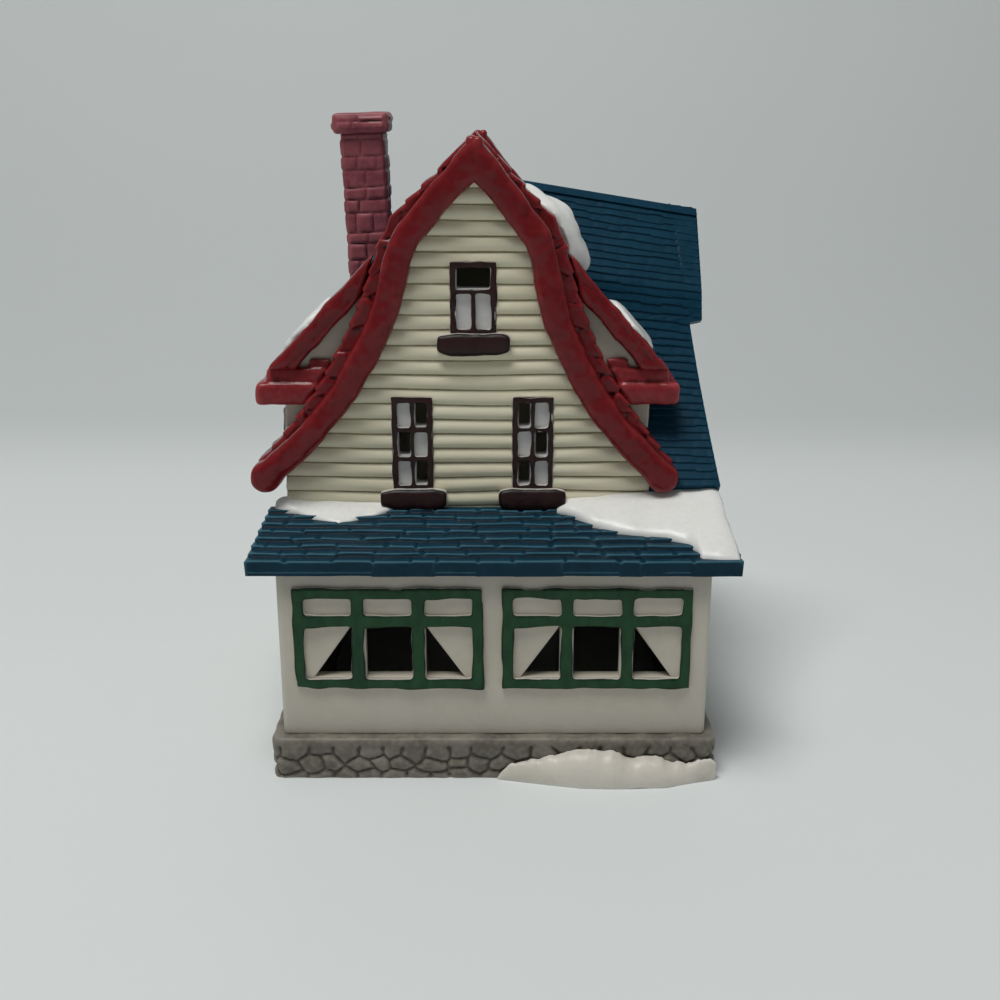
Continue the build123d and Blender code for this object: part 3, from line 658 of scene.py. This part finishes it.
# Foundation: rounded fieldstones under a smooth ledge
def cobbled(me, length, height, seed):
    """Presses the joints of fieldstones into the upright faces and stores a tone for each stone."""
    co, n = points(me), directions(me)
    lo, hi = co.min(0), co.max(0)
    sunk, tint = np.zeros(len(co)), np.zeros(len(co))
    crook = np.column_stack([dents(co, 5, seed + k) for k in (0, 1)]) * (1.1 * mm, 0.8 * mm)
    for k, way in enumerate((FRONT, RIGHT, REAR, LEFT)):
        dice = np.random.default_rng(seed + k)
        axis = k % 2
        grid = np.mgrid[lo[axis] : hi[axis] : length * mm, 0 : hi[2] : height * mm].reshape(2, -1).T
        grid[:, 0] += length * mm * (0.5 * np.round(grid[:, 1] / (height * mm)) % 1.0)
        grid += dice.uniform(-0.3, 0.3, grid.shape) * (length * mm, height * mm)
        mine = np.flatnonzero(n @ way > 0.6)
        spot = co[mine][:, [axis, 2]] + crook[mine]
        far = np.linalg.norm((spot[:, None] - grid[None]) / (1.3, 1.0), axis=2)
        near = np.argsort(far, axis=1)[:, :2]
        first, second = (np.take_along_axis(far, near[:, i : i + 1], 1)[:, 0] for i in (0, 1))
        sunk[mine] = np.exp(-(second - first) / (joint_width * mm))
        tint[mine] = dice.random(len(grid))[near[:, 0]]
    sunk *= np.clip((hi[2] - ledge * mm - co[:, 2]) / (ledge_fade * mm), 0, 1)
    set_points(me, co - n * (sunk * joint_depth * mm)[:, None])
    keep_field(me, "tint", tint * 0.8)
    return me


base_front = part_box("stone_foundation")[0][1] / mm
clay = press(cast(cad("stone_foundation"), voxel=0.46, rounds=3), size=5, depth=0.3, seed=1)
stones = cobbled(clay, length=6.6, height=4.1, seed=11)
put("stone_foundation_cast", stones, ["stone_foundation"], stone, blur=2)

# Lower walls
lower = round_edges(flats(cad("lower_walls")), radius=0.45, segments=2)
put("lower_walls_cast", plain(lower), ["lower_walls"], white, blur=1)


# Boarded gables
def boarded(node, axis, face, out, start, seed):
    """Wall whose lapped boards are swelled to soft rounds and run a little uneven."""
    me = cast(cad(node), 0.42, 1)
    co = points(me)
    run = dents(co * (0.35, 0.35, 1.0), 10, seed) * 0.5 * mm
    share = ((co[:, 2] - start * mm + run) / (board_pitch * mm)) % 1.0
    swell = (1 - np.abs(2 * share ** 0.8 - 1) ** 2.1) * board_swell * mm
    near = np.clip((out * (co[:, axis] - face * mm) + 0.7 * mm) / (0.6 * mm), 0, 1)
    co[:, axis] += near * (face * mm + out * swell - co[:, axis])
    set_points(me, co)
    return press(me, 16, 0.2, seed)


for name, axis, face, out, start in (
    ("front_gable_wall", 1, gable_front, -1, front_board_z),
    ("rear_gable_wall", 1, wall_back, 1, wall_top),
    ("wing_gable_wall", 0, wall_side, 1, wall_top),
):
    put(name + "_cast", boarded(name, axis, face, out, start, 5), [name], cream, blur=2)

# Roofs
porch = courses(
    porch_slope, count=8, lap=0.95, width=2 * porch_half, shingle=9.5, seed=21, wave=0.16, jog=0.1,
    joint=0.55, skirt=3.6,
)
put("porch_roof_cast", joined(porch, core("porch_roof")), ["porch_roof"], navy, blur=1)
for k, (name, side) in enumerate((("main_roof_left", -1), ("main_roof_right", 1))):
    sheet = courses(
        main_slope(side), count=40, lap=0.3, width=main_back - main_front, shingle=7.0, seed=31 + k, wave=0.2,
        jog=0.14, joint=0.75,
    )
    put(name + "_cast", joined(sheet, core(name)), [name], slate, blur=1)
for k, (name, side) in enumerate((("wing_roof_front", -1), ("wing_roof_rear", 1))):
    sheet = courses(
        wing_slope(side), count=37, lap=0.3, width=wing_width, shingle=6.0, seed=41 + k, wave=0.14, jog=0.13,
        joint=0.6,
    )
    put(name + "_cast", joined(sheet, core(name)), [name], slate, blur=1)
hood = press(core("wing_gable_hood", voxel=0.5, inset=0.05), size=6, depth=0.15, seed=45)
put("wing_gable_hood_cast", hood, ["wing_gable_hood"], slate)
for k, (name, side) in enumerate((("dormer_left_roof", -1), ("dormer_right_roof", 1))):
    small_roof = grooved(name, side, pitch=2.9, depth=0.7, voxel=0.45, seed=51 + k)
    put(name + "_cast", small_roof, [name], navy, blur=1)


# Red trim
def rolled(node, voxel, rounds, swell, seed, depth=0.35):
    """Thick bar of clay rolled round, with thumbed sides."""
    me = cast(cad(node), voxel, rounds)
    set_points(me, points(me) + directions(me) * swell * mm)
    return press(press(me, 8, depth, seed), 2.8, depth * 0.3, seed + 1)


for k, where in enumerate(("front", "rear")):
    for j, hand in enumerate(("left", "right")):
        name = f"{where}_bargeboard_{hand}"
        bar = rolled(name, voxel=0.42, rounds=60, swell=0.55, seed=61 + 2 * k + j, depth=0.6)
        co = points(bar)
        inward = (1, -1)[j]
        off = (gable_x * mm - co[:, 0]) * inward
        co[:, 0] += np.clip(1 - off / (apex_reach * mm), 0, 1) ** 2 * inward * apex_lap * mm
        co[:, 1] -= k * (rear_inset + rear_step * j) * mm
        set_points(bar, co)
        put(name + "_cast", bar, [name], red)


def ruled(node, share, groove, lift, seed):
    """Bar whose front is ruled into two strips along its length."""
    bm = flats(cad(node))
    for face in [f for f in bm.faces if f.normal.y < -0.9]:
        edge = max(face.edges, key=lambda e: e.calc_length())
        way = (edge.verts[1].co - edge.verts[0].co).normalized()
        off = way.cross(Vector((0, 1, 0)))
        reach = [v.co.dot(off) for v in face.verts]
        at = min(reach) + share * (max(reach) - min(reach))
        bmesh.ops.bisect_plane(bm, geom=around([face]), dist=1e-7, plane_co=off * at, plane_no=off)
    front = [f for f in bm.faces if f.normal.y < -0.9]
    raise_tiles(bm, front, groove, (lift, 1.3 * lift), random.Random(seed))
    return press(press(cast(bm, 0.42, 24), 7, 0.6, seed), 2.6, 0.2, seed + 1)


for k, hand in enumerate(("left", "right")):
    name = f"dormer_{hand}_verge"
    strips = ruled(name, share=0.66, groove=0.5, lift=0.6, seed=71 + k)
    put(name + "_cast", strips, [name], red)
    name = f"dormer_{hand}_cornice"
    bar = rolled(name, voxel=0.42, rounds=24, swell=0.35, seed=81 + k, depth=0.4)
    # The cornice takes the lighter copy of the red, which is painted light.
    put(name + "_cast", bar, [name], lit_red)


def slanted(node, side, seed):
    """Verge strip whose front is cut into slanting tiles, working down from the ridge."""
    bm = flats(cad(node))
    dice = random.Random(seed)
    rest = max((f for f in bm.faces if f.normal.y < -0.9), key=lambda f: f.calc_area())
    tiles = []
    share, last = 0.05, 0.93
    turn = 1
    while share < last:
        (h, z), (nh, nz) = (along(table, np.array([share]))[0] for table in main_shell)
        spot = Vector((gable_x + side * h - gable_lean * (apex_z - z), 0, z)) * mm
        tilt = Matrix.Rotation(turn * math.radians(dice.uniform(22, 40)), 3, "Y")
        down = tilt @ Vector((side * nz, 0, -nh))
        cut = bmesh.ops.bisect_plane(bm, geom=around([rest]), dist=1e-7, plane_co=spot, plane_no=down)
        pieces = only_faces(cut["geom"])
        rest = max(pieces, key=lambda f: (f.calc_center_median() - spot).dot(down))
        tiles.extend(f for f in pieces if f is not rest)
        share += dice.uniform(0.026, 0.046)
        turn = -turn
    tiles.append(rest)
    raise_tiles(bm, tiles, 0.42, (0.2, 0.5, 0.8), dice)
    return press(cast(bm, 0.4, 2), 4, 0.3, seed)


for k, (hand, side) in enumerate((("left", -1), ("right", 1))):
    name = f"verge_shingles_{hand}"
    put(name + "_cast", slanted(name, side, 91 + k), [name], red)

# Dormer walls
for k, name in enumerate(("dormer_left_walls", "dormer_right_walls")):
    wall = press(cast(cad(name), voxel=0.5, rounds=3), size=9, depth=0.2, seed=101 + k)
    put(name + "_cast", wall, [name], white)


# Windows
def slim(me, way, by):
    """Draws the bars of a frame back from the panes and keeps its outer border."""
    co, n = points(me), directions(me)
    rim = 0.5 * mm
    flat = n - np.outer(n @ way, way)
    inside = ((co - co.min(0) > rim) & (co.max(0) - co > rim)) | (np.abs(way) > 0.5)
    set_points(me, co - flat * (inside.all(axis=1) * by * mm)[:, None])
    return me


def blobby(node, seed):
    """Window sill drawn in towards its ends."""
    me = rolled(node, voxel=0.3, rounds=16, swell=0.25, seed=seed, depth=0.35)
    reach, sag, plump, pinch = 4 * mm, 0.3 * mm, 1.28, 0.4
    co = points(me)
    middle = (co.max(0) + co.min(0)) / 2
    half = (co.max(0) - co.min(0)) / 2
    end = np.clip((np.abs(co[:, 0] - middle[0]) - half[0] + reach) / reach, 0, 1) ** 1.6
    co[:, 2] = middle[2] + (co[:, 2] - middle[2]) * (plump - pinch * end) + sag * end - sag
    set_points(me, co)
    return me


for name in ("attic_window", "left_window", "right_window", "rear_window"):
    name += "_panel"
    put(name + "_cast", cast(cad(name), voxel=0.3, rounds=2), [name], pane)
for k, (name, way) in enumerate(
    (
        ("attic_window_frame", FRONT), ("left_window_frame", FRONT), ("right_window_frame", FRONT),
        ("rear_window_frame", REAR), ("side_window_left", LEFT), ("side_window_right", RIGHT),
        ("dormer_left_window", LEFT),
    )
):
    bars = press(cast(cad(name), voxel=0.26, rounds=3), size=3.5, depth=0.42, seed=111 + k)
    bars = slim(bars, way, by=0.2)
    put(name + "_cast", bars, [name], brown, facing=way)
for k, name in enumerate(("attic_window_sill", "left_window_sill", "right_window_sill")):
    put(name + "_cast", blobby(name, 121 + k), [name], brown, facing=FRONT)
for k, name in enumerate(("porch_window_left", "porch_window_right")):
    bars = press(cast(cad(name), voxel=0.32, rounds=3), size=6, depth=0.6, seed=131 + k)
    bars = slim(bars, FRONT, by=0.15)
    put(name + "_cast", bars, [name], green, facing=FRONT)


# Chimney, bricks cut square to its leaning axis
def bricked(node, course, width, seed):
    """Brickwork in running bond on the upright faces."""
    bm = flats(cad(node))
    square, smallest = 0.3, 6 * mm * mm
    up = Vector((-math.sin(chimney_lean), 0, math.cos(chimney_lean)))
    heights = [v.co.dot(up) for v in bm.verts]
    level = min(heights) + course * mm
    dice = random.Random(seed)
    while level < max(heights) - 0.4 * course * mm:
        tilt = Vector((dice.uniform(-0.03, 0.03), dice.uniform(-0.03, 0.03), 0))
        bmesh.ops.bisect_plane(bm, geom=all_of(bm), dist=1e-7, plane_co=up * level, plane_no=up + tilt)
        level += course * dice.uniform(0.9, 1.1) * mm
    bricks = []
    for way in (Vector((1, 0, 0)), Vector((0, 1, 0))):
        def upright(f):
            steep = abs(f.normal.dot(up)) < square and abs(f.normal.dot(way)) < square
            return steep and f.calc_area() > smallest
        bricks += cross_cut(bm, upright, way, width, 0.03, dice)
    raise_tiles(bm, bricks, 0.55, (0.4, 0.6), dice)
    return press(cast(bm, 0.36, 2), 5, 0.25, seed)


for name, course, width, seed in (("chimney_stack", 4.1, 6.3, 141), ("chimney_cap", 2.9, 6.5, 151)):
    put(name + "_cast", bricked(name, course, width, seed), [name], mauve, blur=2)


# Snow
def heaped(node, fine, seed, fine_seed):
    """Soft mound of snow with broad dents and finer ones over them."""
    mound = press(cast(cad(node), voxel=0.45, rounds=8), size=9, depth=1.6, seed=seed)
    return press(mound, size=4.5, depth=fine, seed=fine_seed)


def blanket(surface, across, down, depth, lip, skirt, seed, end=0.05):
    """Snow lying over a surface, thinning from its upper border to a rounded lip at the lower one."""
    u = spaced(across)
    share = np.repeat(spaced(down)[:, None], len(u), axis=1)
    thick = np.array([depth(a) for a in u])[None, :]
    rise = lip * np.sqrt(1 - share ** 5) + (thick - lip) * (1 - share) ** 1.3
    rise *= np.sqrt(1 - np.clip(1 - np.minimum(u, 1 - u) / end, 0, 1) ** 2)[None, :]
    rise = turn_down(rise, 0.25, skirt)
    return press(drape(surface, u, share, rise), 7, 0.35, seed)


def along_porch(edge):
    """Part of the porch roof from the gable down to an edge of (x, distance out) points."""
    xs, outs = np.array(edge).T

    def surface(u, share):
        x = xs[0] + (xs[-1] - xs[0]) * u
        out = np.interp(x, xs, outs) * share
        half = porch_back_half + (porch_half - porch_back_half) * out / porch_run
        return porch_slope((np.minimum(x, half - snow_margin) / half + 1) / 2, out / porch_run)
    return surface


left_edge = [
    (-60.8, 2.2), (-58.0, 3.6), (-54.0, 4.4), (-52.1, 5.6), (-48.2, 7.4), (-44.3, 9.2), (-42.0, 9.9),
    (-38.5, 8.6), (-36.4, 7.0), (-32.4, 6.0), (-28.4, 2.9), (-25.0, 1.2),
]
right_edge = [
    (16.5, 1.5), (17.2, 4.0), (22.0, 6.7), (26.0, 10.8), (32.2, 14.3), (36.8, 15.8), (45.7, 17.3),
    (51.1, 20.5), (52.7, 24.1), (53.6, 27.0), (58.1, 28.0), (64.0, 28.0),
]
left_snow = blanket(
    along_porch(left_edge), across=48, down=18, depth=lambda a: 1.7 + 2.4 * (1 - a) ** 3, lip=1.4, skirt=1.0,
    seed=162, end=0.13,
)
put("porch_snow_left_cast", left_snow, ["porch_snow_left"], snow)
right_snow = blanket(
    along_porch(right_edge), across=64, down=36, depth=lambda a: 2.4 + 4.5 * a, lip=2.9, skirt=1.2, seed=163,
    end=0.11,
)
put("porch_snow_right_cast", right_snow, ["porch_snow_right"], snow)
heap = heaped("roof_snow_right", fine=0.7, seed=164, fine_seed=168)
middle = points(heap).mean(0)
set_points(heap, middle + (points(heap) - middle) * heap_growth)
put("roof_snow_right_cast", heap, ["roof_snow_right"], snow)
for k, hand in enumerate(("left", "right")):
    slab = flats(cad(f"dormer_{hand}_roof"))
    top = max((f for f in slab.faces if f.normal.z > 0.3), key=lambda f: f.calc_area())
    out, level = np.array(top.normal), top.normal.dot(top.verts[0].co)
    slab.free()
    name = f"dormer_snow_{hand}"
    patch = heaped(name, fine=0.8, seed=165 + k, fine_seed=169 + k)
    co = points(patch)
    middle = co.mean(0)
    turn = np.arctan2(co[:, 1] - middle[1], (co - middle) @ np.cross(out, REAR))
    # Outline in a few lobes, longer along the ridge
    ragged = 0.1 * np.sin(3 * turn + 0.6) + 0.06 * np.sin(5 * turn + 2 * k) - 0.12 * np.cos(2 * turn)
    co = middle + (co - middle) * (1 + ragged)[:, None]
    rise = co @ out - level
    thin = thin_depth * mm * (1 - np.exp(-np.maximum(rise, 0) / (thin_fade * mm)))
    set_points(patch, co + np.outer(np.where(rise > 0, thin - rise, 0), out))
    put(name + "_cast", patch, [name], snow)

drift_start, drift_end = 0.8, 60.0
drift_top = [
    (drift_start, 0.8), (2.5, 2.6), (6.0, 4.6), (12.1, 5.8), (18.0, 7.9), (24.5, 8.3), (31.8, 7.9),
    (36.4, 6.1), (43.2, 6.4), (51.1, 4.5), (58.5, 5.2), (drift_end, 4.0),
]
drift_foot = [
    (drift_start, 0.4), (5.4, 1.4), (13.4, 3.3), (23.2, 5.4), (36.8, 5.7), (46.0, 4.9), (53.1, 2.5),
    (drift_end, 0.5),
]


def drift_face(u, share):
    """Drift against the front of the foundation, from its upper edge down to the floor."""
    x = drift_start + (drift_end - drift_start) * u
    broad = np.array([noise.noise(Vector((a / 3.2, 4.7, 1.3))) for a in x])
    ragged = broad + 0.5 * np.array([noise.noise(Vector((a, 2.1, 0.4))) for a in x])
    high = np.interp(x, *np.array(drift_top).T) + 0.9 * ragged
    reach = np.interp(x, *np.array(drift_foot).T)
    a = share * math.pi / 2
    place = np.column_stack([x, base_front - 0.1 - reach * np.sin(a), high * np.cos(a)])
    return place, np.column_stack([0 * u, -np.sin(a + 0.35), np.cos(a + 0.35)])


drift = blanket(drift_face, across=72, down=20, depth=lambda a: 0.3, lip=0.35, skirt=1.2, seed=161)
put("foundation_snow_cast", drift, ["foundation_snow"], drift_white)

# Studio: pale sweep, one broad soft light overhead
sweep_start, sweep_radius, sweep_reach, sweep_top, sweep_steps = 0.34, 0.5, 9.0, 1.8, 16
sweep = bmesh.new()
profile = [(-sweep_reach, 0.0), (sweep_start, 0.0)]
for i in range(1, sweep_steps + 1):
    a = math.radians(90 * i / sweep_steps)
    profile.append((sweep_start + sweep_radius * math.sin(a), sweep_radius * (1 - math.cos(a))))
profile.append((sweep_start + sweep_radius, sweep_top))
strip = [sweep.verts.new((-sweep_reach, y, z)) for y, z in profile]
edges = [sweep.edges.new(pair) for pair in zip(strip, strip[1:])]
spun = bmesh.ops.extrude_edge_only(sweep, edges=edges)
far = [g for g in spun["geom"] if isinstance(g, bmesh.types.BMVert)]
bmesh.ops.translate(sweep, verts=far, vec=(2 * sweep_reach, 0, 0))
bmesh.ops.recalc_face_normals(sweep, faces=sweep.faces)
sweep_mesh = plain(sweep)
sweep_mesh.name = "studio_sweep"
sweep_mesh.polygons.foreach_set("use_smooth", np.ones(len(sweep_mesh.polygons), dtype=bool))
paper = Paint("studio_paper")
axes = paper.node("ShaderNodeSeparateXYZ", {"Vector": paper.where}).outputs
back, up = Wire(paper, axes["Y"]), Wire(paper, axes["Z"])
tone = paper.mix(paper.cloud(60, 2), (0.735, 0.772, 0.768), (0.75, 0.787, 0.783))
shade = paper.ease(back, 0.215, 0.375) * (1.0 - 0.6 * paper.ease(up, 0.02, 0.3))
tone = paper.mix(shade, tone, (0.635, 0.670, 0.670))
sweep_mesh.materials.append(paper.finish(tone, 0.75, paper.cloud(1.0, 2), 0.02, Specular_IOR_Level=0.2))
floor = bpy.data.objects.new("studio_sweep", sweep_mesh)
scene.collection.objects.link(floor)

world = bpy.data.worlds.new("studio_air")
scene.world = world
world.use_nodes = True
world.node_tree.nodes["Background"].inputs["Color"].default_value = (0.95, 0.98, 1.0, 1)
world.node_tree.nodes["Background"].inputs["Strength"].default_value = 0.17


def lamp(name, place, aim, size, watts, color):
    """Square soft light."""
    light = bpy.data.lights.new(name, "AREA")
    light.size = size
    light.energy = watts
    light.color = color
    ob = bpy.data.objects.new(name, light)
    scene.collection.objects.link(ob)
    ob.location = place
    ob.rotation_euler = (Vector(aim) - Vector(place)).to_track_quat("-Z", "Y").to_euler()


lamp(
    "overhead_light", place=(-0.25, -0.375, 1.4), aim=(0, 0.0, 0.05), size=0.6, watts=13.7,
    color=(1.0, 0.99, 0.975),
)

camera = bpy.data.cameras.new("photo_camera")
camera.sensor_width = 36
camera.lens = 45
camera_ob = bpy.data.objects.new("photo_camera", camera)
scene.collection.objects.link(camera_ob)
camera_ob.location = (0.0016, -0.36192, 0.17298)
camera_ob.rotation_euler = (math.radians(72.7), 0, 0)
scene.camera = camera_ob
